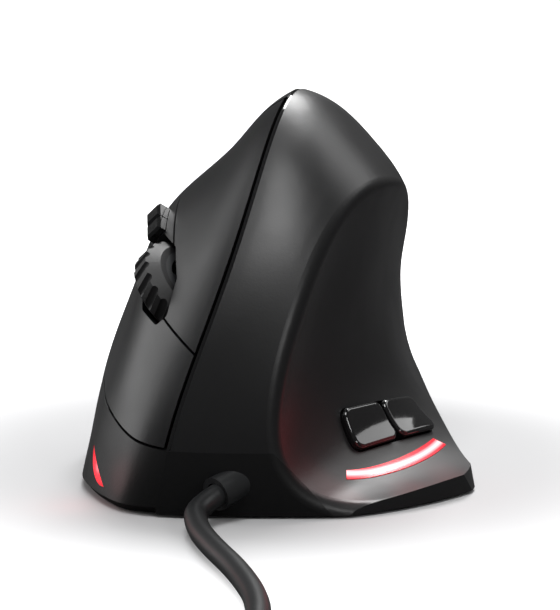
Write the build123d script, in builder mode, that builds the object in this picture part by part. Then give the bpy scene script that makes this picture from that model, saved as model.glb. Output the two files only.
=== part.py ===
from build123d import *
import math
import os

os.makedirs("parts", exist_ok=True)

# Vertical ergonomic mouse, in millimetres
# +Z is up, the cable leaves toward -Y, the thumb side is +X and the finger side is -X.
# The origin lies on the table, below the middle of the mouse.

# Outer form
half_width = 40.0
half_length = 50.0
fan_reach = 100.0
button_reach_share = 1.2
zone_reach_share = 1.5
fan_drop = 30.0
hollow_height = 50.0
wall = 2.0
foot_gap = 0.6
lip_radius = 3.0
skirt_bevel = 1.4
flange_tip_radius = 3.0
overrun = 20.0

# Seams between the shells
trim_width = 0.9
trim_recess = 0.35
trim_depth = 3.4
trim_clearance = 0.6
panel_gap = 0.5
shell_gap = 0.15
case_seam_front = 13.0
case_seam_inner_share = 0.02
case_seam_outer_share = 0.28
case_seam_side = 17.8
case_seam_back = 17.0
floor_thickness = 2.0

# Finger plane: its origin lies on the panel under the scroll wheel
finger_x = -23.3
finger_y = -28.6
finger_z = 42.4
finger_turn = 25.7
finger_tilt = 31.3
finger_roll = 39.2
palm_seam_back = 30.0
tongue_width = 9.0
slot_length = 24.0
slot_width = 10.6
slot_tip = 3.2
slot_shoulder = 7.4
slot_corner = 1.2

# Scroll wheel
wheel_radius = 11.0
wheel_depth = 6.6
wheel_width = 7.0
wheel_rim_width = 3.6
wheel_shoulder = 2.4
hub_radius = 7.2
axle_radius = 1.0
axle_clearance = 0.04
rib_count = 22
rib_radius = 0.95
rib_slant = 22.0
carrier_bar = 1.6
carrier_side_gap = 0.7
carrier_height = 3.2
carrier_front = 15.4
carrier_back = 15.0
pivot_radius = 1.2
ear_width_share = 1.6
pivot_clearance = 0.05
encoder_radius = 2.3
encoder_width = 3.2
encoder_foot = 5.4

# Boards, frame and switches below the finger panel
board_depth = 13.0
board_thickness = 1.4
board_front = 22.0
board_back = 23.0
board_low = 13.0
board_high = 15.0
frame_depth = 16.2
frame_thickness = 2.2
frame_margin = 1.5
rib_thickness = 2.4
front_rib_y = -38.0
rear_rib_y = -9.0
rib_outer_x = -24.0
rib_inner_x = -4.0
snap_length = 12.8
snap_width = 5.8
snap_height = 6.5
snap_plunger_length = 2.8
snap_plunger_width = 1.4
snap_plunger_rise = 0.9
plunger_clearance = 0.06
plunger_root = 1.6
press_gap = 0.15
index_switch_x = 4.5
index_switch_y = 9.6
middle_switch_x = 14.6
middle_switch_y = -9.0
snap_plunger_offset = 3.0
nub_radius = 1.3
tact_height = 3.5
tact_rise = 0.5
wheel_tact_size = 6.0
wheel_tact_radius = 1.6
wheel_tact_x = 12.4

# DPI keys on the tongue
dpi_first_x = -14.1
dpi_pitch = 3.8
dpi_length = 3.5
dpi_width = 4.2
dpi_rise = 1.1
dpi_skirt = 4.6
dpi_flange = 0.4
dpi_flange_thickness = 0.8
dpi_stem_radius = 1.1
dpi_gap = 0.15
dpi_chamfer = 0.5
dpi_tact_length = 3.4
dpi_tact_width = 4.6
dpi_plunger_radius = 0.9

# Thumb buttons in the hollow
thumb_x = 21.3
thumb_y = -22.6
thumb_z = 12.0
thumb_turn = 30.9
thumb_tilt = 38.6
thumb_roll = 4.2
thumb_button_length = 13.4
thumb_button_height = 8.6
thumb_button_gap = 0.9
thumb_button_corner = 2.0
thumb_window_gap = 0.3
thumb_button_rise = 1.6
thumb_button_chamfer = 0.7
thumb_board_depth = 5.2
thumb_board_thickness = 1.2
thumb_board_overhang = 2.6
thumb_board_height = 8.0
thumb_tact_size = 4.4
thumb_tact_height = 1.8
thumb_tact_rise = 0.5
thumb_plunger_radius = 1.0
thumb_plunger_root = 0.8
thumb_boss_radius = 1.6

# Main board, sensor and what stands on it
main_board_z = 7.0
main_board_thickness = 1.6
main_board_length = 32.0
main_board_width = 34.0
main_board_x = -3.0
main_board_y = 12.0
post_radius = 2.4
post_inset = 3.2
sensor_x = -3.0
sensor_y = 2.0
sensor_length = 11.0
sensor_width = 9.0
sensor_height = 2.8
lens_length = 16.0
lens_width = 12.0
lens_rim = 1.2
lens_radius = 3.2
lens_window = 8.0
chip_size = 7.0
chip_height = 1.2
connector_length = 10.0
connector_width = 5.0
connector_height = 5.5

# Screws
screw_radius = 1.0
screw_head_radius = 1.9
screw_head_height = 1.3
screw_sunk_share = 0.75
screw_length = 8.0
small_screw_length = 3.0
screw_clearance = 0.05
boss_radius = 3.0

# Slide feet
foot_thickness = 1.0
foot_length = 22.0
foot_width = 7.0

# Cord, its grommet and its plug
cord_radius = 2.2
grommet_x = -8.6
grommet_y = -52.6
grommet_z = 6.4
grommet_turn = 44.0
grommet_dip = 12.0
grommet_radius = 3.3
grommet_collar_radius = 4.2
grommet_collar = 1.2
coil_x = 0.0
coil_y = -266.0
coil_inner_radius = 14.8
coil_pitch = 4.9
half_turns_per_layer = 5
plug_length = 20.0
plug_width = 15.6
plug_height = 8.0
plug_edge = 1.8
plug_neck_length = 9.0
plug_neck_radius = 3.2
plug_shell_length = 12.0
plug_shell_width = 12.0
plug_shell_height = 4.5
plug_shell_wall = 0.35
plug_tongue_height = 1.9
plug_contact_width = 1.2
plug_contact_pitch = 2.3
plug_contact_thickness = 0.25

# Fan sections of the hull
# Each section stands on a plane through the fan axis, turned by its angle from the vertical.
# A point is a share of half_width across and a share of fan_reach away from the axis.
# The eighth point is the ridge, where the finger side meets the thumb side.
ridge = 7
section_shares = {
    -66: [(-0.938, 0.14), (-0.938, 0.28), (-0.913, 0.38), (-0.875, 0.43), (-0.825, 0.475),
          (-0.763, 0.51), (-0.708, 0.532), (-0.65, 0.547), (-0.4, 0.565), (0.0, 0.57),
          (0.35, 0.56), (0.675, 0.52), (0.9, 0.42), (1.0, 0.14)],
    -54: [(-0.988, 0.14), (-0.975, 0.32), (-0.925, 0.44), (-0.875, 0.495), (-0.813, 0.545),
          (-0.72, 0.6), (-0.633, 0.628), (-0.545, 0.646), (-0.35, 0.66), (-0.05, 0.664),
          (0.3, 0.655), (0.625, 0.6), (0.9, 0.48), (1.0, 0.14)],
    -42: [(-1.0, 0.14), (-0.99, 0.36), (-0.92, 0.47), (-0.825, 0.56), (-0.72, 0.635),
          (-0.625, 0.685), (-0.523, 0.723), (-0.42, 0.753), (-0.2, 0.768), (0.05, 0.771),
          (0.325, 0.75), (0.6, 0.67), (0.9, 0.5), (1.0, 0.14)],
    -30: [(-1.0, 0.14), (-0.975, 0.346), (-0.908, 0.48), (-0.775, 0.625), (-0.633, 0.725),
          (-0.49, 0.788), (-0.365, 0.832), (-0.24, 0.866), (-0.05, 0.878), (0.175, 0.872),
          (0.4, 0.835), (0.663, 0.715), (0.9, 0.51), (1.0, 0.14)],
    -18: [(-1.0, 0.14), (-0.96, 0.33), (-0.9, 0.47), (-0.75, 0.645), (-0.588, 0.788),
          (-0.35, 0.882), (-0.215, 0.938), (-0.08, 0.985), (0.1, 0.988), (0.3, 0.96),
          (0.5, 0.898), (0.72, 0.735), (0.9, 0.51), (1.0, 0.14)],
    -6: [(-1.0, 0.14), (-0.94, 0.32), (-0.893, 0.47), (-0.733, 0.66), (-0.53, 0.844),
         (-0.225, 0.96), (-0.075, 1.03), (0.075, 1.074), (0.225, 1.048), (0.395, 0.985),
         (0.595, 0.893), (0.75, 0.74), (0.9, 0.52), (1.0, 0.14)],
    8: [(-0.988, 0.14), (-0.935, 0.31), (-0.888, 0.45), (-0.733, 0.62), (-0.475, 0.779),
        (-0.21, 0.872), (0.018, 0.948), (0.238, 1.003), (0.375, 0.986), (0.513, 0.936),
        (0.663, 0.85), (0.775, 0.695), (0.9, 0.5), (0.975, 0.14)],
    22: [(-0.925, 0.14), (-0.885, 0.3), (-0.825, 0.43), (-0.65, 0.57), (-0.4, 0.695),
         (-0.15, 0.78), (0.113, 0.85), (0.35, 0.895), (0.475, 0.874), (0.59, 0.82),
         (0.7, 0.74), (0.8, 0.615), (0.875, 0.46), (0.925, 0.14)],
    36: [(-0.85, 0.14), (-0.82, 0.3), (-0.735, 0.42), (-0.538, 0.54), (-0.313, 0.635),
         (-0.075, 0.708), (0.163, 0.76), (0.388, 0.79), (0.5, 0.77), (0.613, 0.715),
         (0.705, 0.63), (0.788, 0.53), (0.85, 0.41), (0.888, 0.14)],
    50: [(-0.763, 0.14), (-0.733, 0.28), (-0.633, 0.395), (-0.438, 0.495), (-0.225, 0.573),
         (0.0, 0.63), (0.188, 0.662), (0.363, 0.68), (0.488, 0.66), (0.6, 0.61),
         (0.688, 0.535), (0.75, 0.45), (0.795, 0.355), (0.825, 0.14)],
    64: [(-0.65, 0.14), (-0.625, 0.25), (-0.525, 0.35), (-0.35, 0.435), (-0.163, 0.5),
         (0.025, 0.54), (0.188, 0.564), (0.325, 0.575), (0.45, 0.555), (0.563, 0.51),
         (0.638, 0.445), (0.688, 0.375), (0.725, 0.3), (0.75, 0.14)],
}

# Upright sections of the thumb hollow, front to back
# A section stands at a share of half_length, and a point is a share of half_width
# and a share of hollow_height.
hollow_shares = {
    -1.2: [(1.55, -0.02), (0.35, 0.01), (0.113, 0.08), (-0.013, 0.22), (-0.038, 0.4),
           (0.0, 0.6), (0.1, 0.82), (0.25, 1.08), (0.525, 1.54)],
    -1.04: [(1.55, 0.03), (0.35, 0.052), (0.138, 0.12), (0.038, 0.24), (0.013, 0.4),
            (0.05, 0.6), (0.15, 0.82), (0.3, 1.08), (0.575, 1.54)],
    -0.8: [(1.55, 0.056), (0.525, 0.092), (0.3, 0.17), (0.2, 0.3), (0.15, 0.48),
           (0.155, 0.68), (0.22, 0.94), (0.338, 1.19), (0.6, 1.52)],
    -0.56: [(1.55, 0.08), (0.7, 0.124), (0.488, 0.21), (0.375, 0.34), (0.32, 0.52),
            (0.32, 0.72), (0.358, 0.98), (0.445, 1.22), (0.675, 1.52)],
    -0.24: [(1.55, 0.092), (0.9, 0.136), (0.675, 0.24), (0.558, 0.39), (0.505, 0.58),
            (0.5, 0.76), (0.525, 0.98), (0.6, 1.19), (0.85, 1.43)],
    0.1: [(1.55, 0.1), (0.888, 0.15), (0.733, 0.26), (0.65, 0.41), (0.61, 0.58),
          (0.6, 0.74), (0.62, 0.93), (0.68, 1.11), (0.925, 1.32)],
    0.42: [(1.55, 0.12), (0.863, 0.16), (0.75, 0.25), (0.693, 0.37), (0.66, 0.52),
           (0.648, 0.68), (0.665, 0.84), (0.723, 0.97), (0.975, 1.16)],
    0.76: [(1.55, 0.14), (0.838, 0.18), (0.75, 0.26), (0.705, 0.36), (0.685, 0.48),
           (0.678, 0.59), (0.7, 0.7), (0.765, 0.79), (1.05, 0.96)],
    1.12: [(1.55, 0.16), (0.9, 0.22), (0.825, 0.32), (0.8, 0.42), (0.788, 0.5),
           (0.788, 0.56), (0.8, 0.61), (0.85, 0.68), (1.125, 0.82)],
}
hollow_end_share = 1.6

# Plan of the flange, as shares of half_width and half_length
flange_front_shares = [(0.1, -1.13), (0.63, -0.91), (0.985, -0.615)]
flange_side_shares = [(0.985, -0.615), (0.905, -0.35), (0.845, -0.03), (0.8, 0.36),
                      (0.72, 0.8), (0.45, 1.12)]


def direction(turn, tilt):
    """A unit vector turned about Z from the +X axis and then lifted, in degrees."""
    turn = math.radians(turn)
    tilt = math.radians(tilt)
    return Vector(math.cos(turn) * math.cos(tilt), math.sin(turn) * math.cos(tilt), math.sin(tilt))


def surface_plane(origin, turn, tilt, roll):
    """A plane facing out of the surface, whose X axis is rolled down from the horizontal."""
    normal = direction(turn, tilt)
    level = Vector(0, 0, 1).cross(normal).normalized()
    along = level.rotate(Axis((0, 0, 0), normal), roll)
    return Plane(origin=origin, x_dir=along, z_dir=normal)


def at(plane, x, y, z):
    """The place in the whole mouse of a point given in a plane's own axes."""
    return plane.from_local_coords(Vector(x, y, z))


def raised(plane, height):
    """The same plane, moved along its normal."""
    return Plane(origin=at(plane, 0, 0, height), x_dir=plane.x_dir, z_dir=plane.z_dir)


def parallel_outline(points, inset):
    """The outline moved to the right of its own travel by the inset, mitred at each point."""
    ways = []
    for start, end in zip(points, points[1:]):
        step = Vector(end[0] - start[0], end[1] - start[1]).normalized()
        ways.append(Vector(step.Y, -step.X))
    ways = [ways[0]] + ways + [ways[-1]]
    moved = []
    for point, before, after in zip(points, ways, ways[1:]):
        shift = (before + after) * (inset / (1 + before.dot(after)))
        moved.append((point[0] + shift.X, point[1] + shift.Y))
    return moved


def fan_plane(angle):
    turned = math.radians(angle)
    return Plane(origin=(0, 0, -fan_drop), x_dir=(1, 0, 0), z_dir=(0, -math.cos(turned), math.sin(turned)))


def hull_form(inset):
    """The whole mouse without its thumb hollow, drawn in by the inset."""
    with BuildPart() as hull:
        for angle, shares in section_shares.items():
            outline = [(across * half_width, away * fan_reach) for across, away in shares]
            outline = parallel_outline(outline, inset)
            with BuildSketch(fan_plane(angle)):
                with BuildLine():
                    Spline(*outline[:ridge + 1])
                    Spline(*outline[ridge:])
                    Line(outline[-1], outline[0])
                make_face()
        loft()
    return hull.part


def hollow_form(outset):
    """The space that the thumb lies in, grown into the shell by the outset."""
    end = hollow_end_share * half_width
    with BuildPart() as hollow:
        for station, shares in hollow_shares.items():
            outline = [(across * half_width, up * hollow_height) for across, up in shares]
            outline = parallel_outline(outline, -outset)
            with BuildSketch(Plane(origin=(0, station * half_length, 0), x_dir=(1, 0, 0), z_dir=(0, -1, 0))):
                with BuildLine():
                    Spline(*outline)
                    Polyline(outline[-1], (end, outline[-1][1]), outline[0])
                make_face()
        loft()
    return hollow.part


def plan_form(inset):
    """An upright prism over the plan of the flange, open on the finger side."""
    front = [(across * half_width, along * half_length) for across, along in flange_front_shares]
    side = [(across * half_width, along * half_length) for across, along in flange_side_shares]
    outline = parallel_outline(front + side[1:], -inset)
    front, side = outline[:len(front)], outline[len(front) - 1:]
    back = side[-1][1]
    with BuildPart() as plan:
        with BuildSketch(Plane.XY.offset(foot_gap)):
            with BuildLine():
                Spline(*front)
                Spline(*side)
                Polyline(side[-1], (-half_width - overrun, back), (-half_width - overrun, front[0][1]),
                         front[0])
            make_face()
            tip = Vector(front[-1][0], front[-1][1], foot_gap)
            tip_radius = max(flange_tip_radius - inset, flange_tip_radius / 4)
            fillet(vertices().sort_by_distance(tip)[0], tip_radius)
        extrude(amount=fan_reach)
    return plan.part


def body_form(inset):
    """The solid outer form of the mouse, drawn in by the inset."""
    with BuildPart() as body:
        add(hull_form(inset))
        add(plan_form(inset), mode=Mode.INTERSECT)
        add(hollow_form(inset), mode=Mode.SUBTRACT)
    return body.part


def finger_side(shift):
    """Everything on the finger side of the ridge, with the cut moved across by the shift."""
    with BuildPart() as side:
        for angle, shares in section_shares.items():
            edge = shares[ridge][0] * half_width + shift
            low = shares[0][1] * fan_reach / 2
            with BuildSketch(fan_plane(angle)):
                with Locations((edge, low)):
                    Rectangle(2 * half_width, button_reach_share * fan_reach, align=(Align.MAX, Align.MIN))
        loft()
    return side.part



# The working planes
finger_plane = surface_plane((finger_x, finger_y, finger_z), 180 + finger_turn, finger_tilt, -finger_roll)
thumb_plane = surface_plane((thumb_x, thumb_y, thumb_z), -thumb_turn, thumb_tilt, -thumb_roll)

# The outer and inner forms that every shell is cut from
floor_top = foot_gap + floor_thickness
reach = 2 * fan_reach

with BuildPart() as outer:
    add(body_form(0))
    lip_edges = outer.edges().filter_by(lambda edge: edge.length > 2 * fan_reach / 3)
    lip_edge = lip_edges.sort_by(lambda edge: edge.center().X)[-1]
    fillet(lip_edge, lip_radius)
    skirt_edges = outer.edges().filter_by(lambda edge: edge.bounding_box().max.Z < foot_gap + wall / 2)
    chamfer(skirt_edges.sort_by(lambda edge: edge.center().X)[0], skirt_bevel)

inner_form = body_form(wall)
floor_form = body_form(wall + shell_gap)
clear_form = body_form(wall + frame_margin)
thin_form = body_form(wall / 2)

with BuildPart() as shell:
    add(outer.part)
    add(inner_form, mode=Mode.SUBTRACT)

finger_half = finger_side(-trim_width / 3 - trim_clearance)
band_half = finger_side(-trim_width / 3)
thumb_cut = finger_side(2 * trim_width / 3)

# Everything below the seam of the lower case
case_seam_shares = (-1.2, -1.05, -0.6, 0.0, 1.2)


def case_form(rise):
    """The space below the lower case's seam, with the seam raised by the rise."""
    heights = (case_seam_front, case_seam_front, case_seam_side, case_seam_side, case_seam_back)
    seam = [(share * half_length, height + rise) for share, height in zip(case_seam_shares, heights)]
    with BuildPart() as below:
        with BuildSketch(Plane.YZ.offset(-reach / 2)):
            with BuildLine():
                Spline(*seam)
                Polyline(seam[-1], (seam[-1][0], 0), (seam[0][0], 0), seam[0])
            make_face()
        extrude(amount=reach)
    return below.part


with BuildPart() as case_zone:
    add(case_form(0))

# What of that zone belongs to the thumb shell: the flange and the foot of the hollow
thumb_zone_top = 0.9 * hollow_height
with BuildPart() as thumb_zone:
    with BuildSketch(Plane.XZ.offset(1.3 * half_length)):
        with BuildLine():
            Polyline((-case_seam_inner_share * half_width, thumb_zone_top),
                     (-case_seam_inner_share * half_width, case_seam_front),
                     (case_seam_outer_share * half_width, 0), (2 * half_width, 0),
                     (2 * half_width, thumb_zone_top), close=True)
        make_face()
    extrude(amount=-2 * half_length)

# The palm side behind the finger buttons, with the tongue that runs forward to the wheel
with BuildPart() as palm_zone:
    with BuildSketch(raised(finger_plane, -fan_reach)):
        with Locations((-palm_seam_back, 0)):
            Rectangle(reach, reach, align=(Align.MAX, Align.CENTER))
    extrude(amount=zone_reach_share * fan_reach)
    with BuildSketch(raised(finger_plane, -board_depth)):
        with Locations((-palm_seam_back - wall, 0)):
            Rectangle(palm_seam_back + wall, tongue_width, align=(Align.MIN, Align.CENTER))
    extrude(amount=2 * board_depth)

with BuildPart() as palm_gap_zone:
    with BuildSketch(raised(finger_plane, -fan_reach)):
        with Locations((panel_gap - palm_seam_back, 0)):
            Rectangle(reach, reach, align=(Align.MAX, Align.CENTER))
    extrude(amount=zone_reach_share * fan_reach)
    with BuildSketch(raised(finger_plane, -board_depth)):
        with Locations((-palm_seam_back - wall, 0)):
            Rectangle(palm_seam_back + wall + panel_gap, tongue_width + 2 * panel_gap,
                      align=(Align.MIN, Align.CENTER))
    extrude(amount=2 * board_depth)

# The lozenge that the wheel stands in
with BuildPart() as slot_zone:
    with BuildSketch(raised(finger_plane, -board_depth)):
        quarter = [(slot_length / 2, slot_tip / 2), (slot_length / 2 - slot_shoulder, slot_width / 2)]
        with BuildLine():
            Polyline(quarter[0], quarter[1], (-quarter[1][0], quarter[1][1]),
                     (-quarter[0][0], quarter[0][1]),
                     (-quarter[0][0], -quarter[0][1]), (-quarter[1][0], -quarter[1][1]),
                     (quarter[1][0], -quarter[1][1]), (quarter[0][0], -quarter[0][1]), close=True)
        make_face()
        fillet(vertices(), slot_corner)
    extrude(amount=2 * board_depth)

# The upper side of the gap between the two buttons, which bends toward the ridge in front of the wheel
gap_bend_share = (0.42, 0.0)
gap_ridge_share = (0.98, 0.22)
gap_end_share = (2.4, 0.7)
bend = (gap_bend_share[0] * slot_length, gap_bend_share[1] * slot_length)
rise = (gap_ridge_share[0] * slot_length, gap_ridge_share[1] * slot_length)
gap_end = (gap_end_share[0] * slot_length, gap_end_share[1] * slot_length)


def button_zone(side):
    """The finger side above the gap line for side 1 and below it for side -1."""
    line = [(-fan_reach, 0), bend, rise, gap_end]
    line = parallel_outline(line, -side * panel_gap / 2)
    with BuildPart() as zone:
        with BuildSketch(raised(finger_plane, -fan_reach / 2)):
            with BuildLine():
                Polyline(*line, (line[-1][0], side * fan_reach), (line[0][0], side * fan_reach), close=True)
            make_face()
        extrude(amount=fan_reach)
    return zone.part


def slab(plane, x, y, low, high, length, width):
    """A flat block between two heights of a plane."""
    with BuildPart() as block:
        with BuildSketch(raised(plane, low)):
            with Locations((x, y)):
                Rectangle(length, width)
        extrude(amount=high - low)
    return block.part


def rod(plane, x, y, low, high, radius):
    """A round post between two heights of a plane."""
    with BuildPart() as post:
        with BuildSketch(raised(plane, low)):
            with Locations((x, y)):
                Circle(radius)
        extrude(amount=high - low)
    return post.part


def nub(x, y):
    """A post that reaches from inside a button panel down to a switch plunger."""
    tip = board_depth - snap_height - snap_plunger_rise - press_gap
    with BuildPart() as post:
        with BuildSketch(raised(finger_plane, -tip)):
            with Locations((x, y)):
                Circle(nub_radius)
        extrude(amount=board_depth)
        add(thin_form, mode=Mode.INTERSECT)
    return post.part


# Screw bosses
palm_boss_x = -0.25 * half_width
palm_boss_y = 0.66 * half_length
boss_bottom = floor_top + shell_gap
boss_hole_radius = screw_radius + screw_clearance
boss_hole_depth = screw_length

# The thumb light strip, an arc along the flange, and the finger light, a sliver on the skirt
light_front = (0.335 * half_width, -0.87 * half_length)
light_bend = (0.66 * half_width, -0.645 * half_length)
light_back = (0.845 * half_width, -0.37 * half_length)
light_width = 2.8
light_seat = 0.3
light_start_share = 0.8
light_bend_share = 0.7
light_end_share = 0.9
light_end_rise_share = 0.3
sliver_x = -0.855 * half_width
sliver_y = -0.72 * half_length
sliver_z = 6.4
sliver_turn = 22.0
sliver_tilt = 13.0
sliver_roll = -30.0
sliver_length = 12.4
sliver_width = 2.0
sliver_bow = 2.2

with BuildPart() as strip_zone:
    with BuildSketch(Plane.XY.offset(foot_gap)):
        with BuildLine():
            outer_arc = ThreePointArc(light_front, light_bend, light_back)
            inner_start = (light_front[0], light_front[1] + light_width * light_start_share)
            inner_bend = (light_bend[0] - light_width * light_bend_share,
                          light_bend[1] + light_width * light_start_share)
            inner_end = (light_back[0] - light_width * light_end_share,
                         light_back[1] + light_width * light_end_rise_share)
            inner_arc = ThreePointArc(inner_start, inner_bend, inner_end)
            Line(outer_arc @ 0, inner_arc @ 0)
            Line(outer_arc @ 1, inner_arc @ 1)
        make_face()
    extrude(amount=hollow_height / 2)

sliver_plane = surface_plane((sliver_x, sliver_y, sliver_z), 180 + sliver_turn, sliver_tilt, sliver_roll)
with BuildPart() as sliver_zone:
    with BuildSketch(raised(sliver_plane, -4 * wall)):
        with BuildLine():
            ThreePointArc((-sliver_length / 2, 0), (0, -sliver_bow), (sliver_length / 2, 0))
            ThreePointArc((-sliver_length / 2, 0), (0, sliver_width - sliver_bow), (sliver_length / 2, 0))
        make_face()
    extrude(amount=8 * wall)

# Thumb shell: front face, hood, hollow and flange, with two screw bosses, the button window
# and two posts for the thumb board
front_boss_x = 0.03 * half_width
front_boss_y = -0.92 * half_length
back_boss_x = 0.59 * half_width
back_boss_y = 0.54 * half_length
back_boss_top = 0.62 * hollow_height
front_boss_top = 0.5 * hollow_height
pair_length = 2 * thumb_button_length + thumb_button_gap
window_length = pair_length + 2 * thumb_window_gap
window_height = thumb_button_height + 2 * thumb_window_gap
thumb_board_length = pair_length + 2 * thumb_board_overhang
thumb_post_x = (thumb_board_length - thumb_board_overhang) / 2 + thumb_window_gap

with BuildPart() as skirt_cut:
    add(case_zone.part)
    add(thumb_zone.part, mode=Mode.SUBTRACT)

with BuildPart() as thumb_bosses:
    with BuildSketch(Plane.XY.offset(boss_bottom)):
        with Locations((front_boss_x, front_boss_y)):
            Circle(boss_radius)
    extrude(amount=front_boss_top)
    with BuildSketch(Plane.XY.offset(boss_bottom)):
        with Locations((back_boss_x, back_boss_y)):
            Circle(boss_radius)
    extrude(amount=back_boss_top)
    add(thin_form, mode=Mode.INTERSECT)

with BuildPart() as thumb_posts:
    with BuildSketch(raised(thumb_plane, -thumb_board_depth)):
        with Locations((-thumb_post_x, 0), (thumb_post_x, 0)):
            Circle(thumb_boss_radius)
    extrude(amount=2 * thumb_board_depth)
    add(thin_form, mode=Mode.INTERSECT)

with BuildPart() as thumb_shell:
    add(shell.part)
    add(thumb_cut, mode=Mode.SUBTRACT)
    add(skirt_cut.part, mode=Mode.SUBTRACT)
    add(thumb_bosses.part)
    add(thumb_posts.part)
    with Locations((front_boss_x, front_boss_y, boss_bottom), (back_boss_x, back_boss_y, boss_bottom)):
        Cylinder(boss_hole_radius, boss_hole_depth, align=(Align.CENTER, Align.CENTER, Align.MIN),
                 mode=Mode.SUBTRACT)
    with BuildSketch(raised(thumb_plane, -thumb_board_depth)):
        RectangleRounded(window_length, window_height, thumb_button_corner + thumb_window_gap)
    extrude(amount=3 * thumb_board_depth, mode=Mode.SUBTRACT)
    add(strip_zone.part, mode=Mode.SUBTRACT)
thumb_shell.part.label = "thumb_shell"
export_step(thumb_shell.part, "parts/thumb_shell.step")

# Index button, between the ridge and the wheel
with BuildPart() as index_button:
    add(shell.part)
    add(finger_half, mode=Mode.INTERSECT)
    add(button_zone(1), mode=Mode.INTERSECT)
    add(case_form(panel_gap), mode=Mode.SUBTRACT)
    add(palm_gap_zone.part, mode=Mode.SUBTRACT)
    add(slot_zone.part, mode=Mode.SUBTRACT)
    add(nub(index_switch_x + snap_plunger_offset, index_switch_y))
index_button.part.label = "index_button"
export_step(index_button.part, "parts/index_button.step")

# Middle button, below the wheel
with BuildPart() as middle_button:
    add(shell.part)
    add(finger_half, mode=Mode.INTERSECT)
    add(button_zone(-1), mode=Mode.INTERSECT)
    add(case_form(panel_gap), mode=Mode.SUBTRACT)
    add(palm_gap_zone.part, mode=Mode.SUBTRACT)
    add(slot_zone.part, mode=Mode.SUBTRACT)
    add(nub(middle_switch_x - snap_plunger_offset, middle_switch_y))
middle_button.part.label = "middle_button"
export_step(middle_button.part, "parts/middle_button.step")

# Palm cover, with its tongue, the DPI key hole and a screw boss at the back
dpi_middle_x = dpi_first_x - dpi_pitch / 2
dpi_hole_length = dpi_pitch + dpi_length + 2 * dpi_gap
dpi_hole_width = dpi_width + 2 * dpi_gap

with BuildPart() as palm_cover:
    add(shell.part)
    add(finger_side(-trim_width / 3), mode=Mode.INTERSECT)
    add(palm_zone.part, mode=Mode.INTERSECT)
    add(case_zone.part, mode=Mode.SUBTRACT)
    add(slot_zone.part, mode=Mode.SUBTRACT)
    with BuildSketch(raised(finger_plane, -board_depth)):
        with Locations((dpi_middle_x, 0)):
            Rectangle(dpi_hole_length, dpi_hole_width)
    extrude(amount=2 * board_depth, mode=Mode.SUBTRACT)
    with BuildPart(mode=Mode.PRIVATE) as palm_boss:
        with BuildSketch(Plane.XY.offset(boss_bottom)):
            with Locations((palm_boss_x, palm_boss_y)):
                Circle(boss_radius)
        extrude(amount=fan_reach)
        add(thin_form, mode=Mode.INTERSECT)
    add(palm_boss.part)
    with Locations((palm_boss_x, palm_boss_y, boss_bottom)):
        Cylinder(boss_hole_radius, boss_hole_depth, align=(Align.CENTER, Align.CENTER, Align.MIN),
                 mode=Mode.SUBTRACT)
palm_cover.part.label = "palm_cover"
export_step(palm_cover.part, "parts/palm_cover.step")

# Trim band on the ridge, between the finger side and the thumb side
with BuildPart() as trim_band:
    add(body_form(trim_recess))
    add(body_form(trim_depth), mode=Mode.SUBTRACT)
    add(finger_side(2 * trim_width / 3), mode=Mode.INTERSECT)
    add(band_half, mode=Mode.SUBTRACT)
    add(case_zone.part, mode=Mode.SUBTRACT)
trim_band.part.label = "trim_band"
export_step(trim_band.part, "parts/trim_band.step")

# Thumb light strip, seated in the flange
with BuildPart() as thumb_light:
    add(hollow_form(wall + light_seat))
    add(hollow_form(-light_seat / 2), mode=Mode.SUBTRACT)
    add(strip_zone.part, mode=Mode.INTERSECT)
thumb_light.part.label = "thumb_light"
export_step(thumb_light.part, "parts/thumb_light.step")

# The two thumb buttons: a slab of the hollow's surface, raised into the hollow
raised_hollow = hollow_form(-thumb_button_rise)
button_hollow = hollow_form(wall)
thumb_tact_top = thumb_board_depth - thumb_tact_height - thumb_tact_rise
button_step = (thumb_button_length + thumb_button_gap) / 2


def thumb_button(x):
    """A raised button in the hollow, with the nub that meets its switch."""
    with BuildPart() as button:
        with BuildSketch(raised(thumb_plane, -thumb_board_depth)):
            with Locations((x, 0)):
                RectangleRounded(thumb_button_length, thumb_button_height, thumb_button_corner)
        extrude(amount=3 * thumb_board_depth)
        add(button_hollow, mode=Mode.INTERSECT)
        add(raised_hollow, mode=Mode.SUBTRACT)
        top = button.faces().sort_by(Axis(thumb_plane.origin, thumb_plane.z_dir))[-1]
        fillet(top.edges(), thumb_button_chamfer)
        with BuildSketch(raised(thumb_plane, press_gap - thumb_tact_top)):
            with Locations((x, 0)):
                Circle(thumb_plunger_radius)
        extrude(amount=thumb_tact_top + thumb_button_rise / 2)
    return button.part


with BuildPart() as forward_button:
    add(thumb_button(-button_step))
forward_button.part.label = "forward_button"
export_step(forward_button.part, "parts/forward_button.step")

with BuildPart() as back_button:
    add(thumb_button(button_step))
back_button.part.label = "back_button"
export_step(back_button.part, "parts/back_button.step")

# Lower case: skirt, front apron and floor, with the posts, bosses and windows of the floor
def case_posts():
    """Where the main board's posts stand."""
    across = main_board_width / 2 - post_inset
    along = main_board_length / 2 - post_inset
    return [(main_board_x + i * across, main_board_y + j * along) for i in (-1, 1) for j in (-1, 1)]


case_screws_at = [(palm_boss_x, palm_boss_y), (front_boss_x, front_boss_y), (back_boss_x, back_boss_y)]
feet_at = [(-0.18 * half_width, -0.775 * half_length, 0), (-0.12 * half_width, 0.8 * half_length, 0),
           (0.65 * half_width, -0.44 * half_length, 60)]
screw_seat = foot_gap + screw_head_height * screw_sunk_share

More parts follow.
